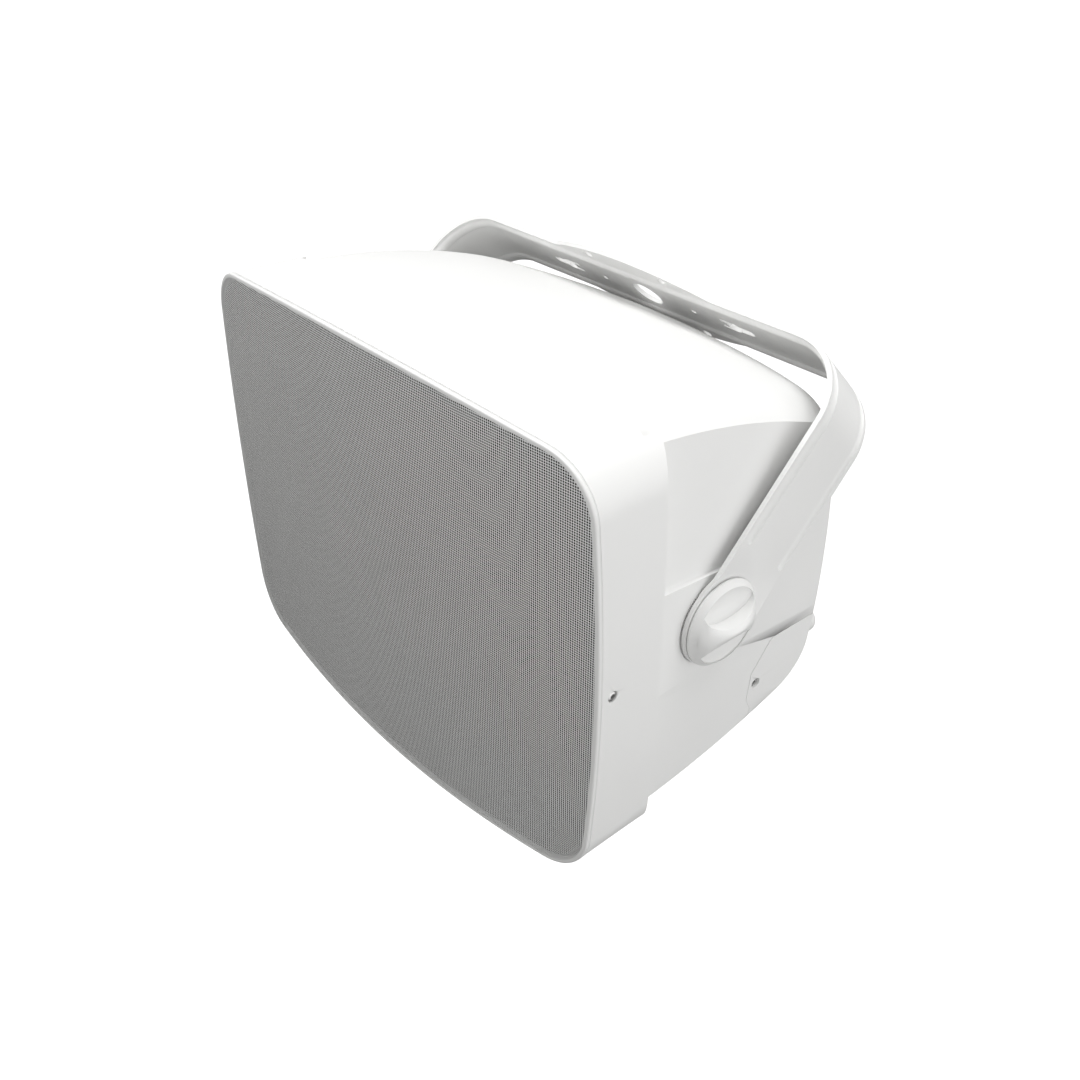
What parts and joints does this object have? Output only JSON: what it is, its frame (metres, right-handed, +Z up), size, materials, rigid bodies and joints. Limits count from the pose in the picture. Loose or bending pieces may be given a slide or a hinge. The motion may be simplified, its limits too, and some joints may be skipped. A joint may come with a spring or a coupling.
{
  "type": "surface-mount loudspeaker",
  "caption": "White two-way loudspeaker in a rounded cabinet with a bowed perforated grille, tilting in a U-shaped steel wall bracket that is clamped by side hand knobs.",
  "frame": {"origin": "middle of the outer face of the bracket's crossbar, where it meets the wall or ceiling", "axes": "+X to the right seen from the front, +Y from the grille to the rear, +Z up with the cabinet level; the bracket leans 45 degrees back"},
  "size_m": [0.3918, 0.2646, 0.2952],
  "materials": {
    "bracket_paint": "satin white powder coat",
    "ring_plastic": "moulded white plastic",
    "knob_plastic": "satin white plastic",
    "plated_steel": "zinc plated",
    "insert_brass": "turned brass",
    "cabinet_plastic": "fine-grained white moulding",
    "grille_paint": "satin white powder coat",
    "foam": "open black foam",
    "gasket_rubber": "matt black",
    "gland_plastic": "nylon",
    "basket_paint": "black stove enamel",
    "cone_plastic": "fine-textured black",
    "coil_aluminium": "plain",
    "spider_cloth": "resin-stiffened cloth",
    "ferrite": "ground ferrite",
    "horn_plastic": "satin black",
    "board": "solder-masked laminate",
    "copper": "enamelled copper wire",
    "capacitor_film": "wrapped film",
    "resistor_ceramic": "cast ceramic",
    "terminal_plastic": "moulded black"
  },
  "bodies": {
    "bracket": {"u_bracket": "bracket_paint"},
    "cabinet": {"left_toothed_ring": "ring_plastic", "right_toothed_ring": "ring_plastic", "pivot_inserts": "insert_brass", "front_baffle": "cabinet_plastic", "enclosure": "cabinet_plastic", "rear_cover": "cabinet_plastic", "grille": "grille_paint", "grille_foam": "foam", "grille_screws": "plated_steel", "baffle_gasket": "gasket_rubber", "baffle_screws": "plated_steel", "rear_cover_screws": "plated_steel", "cable_gland": "gland_plastic", "woofer_basket": "basket_paint", "woofer_gasket": "gasket_rubber", "woofer_screws": "plated_steel", "woofer_surround": "gasket_rubber", "woofer_spider": "spider_cloth", "woofer_top_plate": "plated_steel", "woofer_magnet": "ferrite", "woofer_back_plate": "plated_steel", "hf_horn": "horn_plastic", "horn_screws": "plated_steel", "hf_driver": "ferrite", "hf_driver_cap": "horn_plastic", "upper_port_tube": "horn_plastic", "lower_port_tube": "horn_plastic", "crossover_board": "board", "board_screws": "plated_steel", "crossover_inductors": "copper", "crossover_capacitors": "capacitor_film", "crossover_resistor": "resistor_ceramic", "terminal_block": "terminal_plastic", "terminal_screws": "insert_brass"},
    "left_knob": {"left_knob_cap": "knob_plastic", "left_knob_stud": "plated_steel"},
    "right_knob": {"right_knob_cap": "knob_plastic", "right_knob_stud": "plated_steel"},
    "woofer_moving": {"woofer_cone": "cone_plastic", "woofer_dust_cap": "cone_plastic", "woofer_voice_coil": "coil_aluminium"}
  },
  "joints": [
    {"name": "tilt", "type": "hinge", "parent": "bracket", "child": "cabinet", "pos_m": [0, -0.1171, -0.1171], "axis": [1, 0, 0], "range_deg": [-45, 135]},
    {"name": "left_knob_turn", "type": "hinge", "parent": "cabinet", "child": "left_knob", "pos_m": [0, -0.1171, -0.1171], "axis": [1, 0, 0], "continuous": true},
    {"name": "right_knob_turn", "type": "hinge", "parent": "cabinet", "child": "right_knob", "pos_m": [0, -0.1171, -0.1171], "axis": [1, 0, 0], "continuous": true},
    {"name": "cone_travel", "type": "slide", "parent": "cabinet", "child": "woofer_moving", "axis": [0, 1, 0], "range_m": [-0.006, 0.006], "stiffness_N_per_m": 4000, "deforming": ["woofer_surround", "woofer_spider"]}
  ]
}
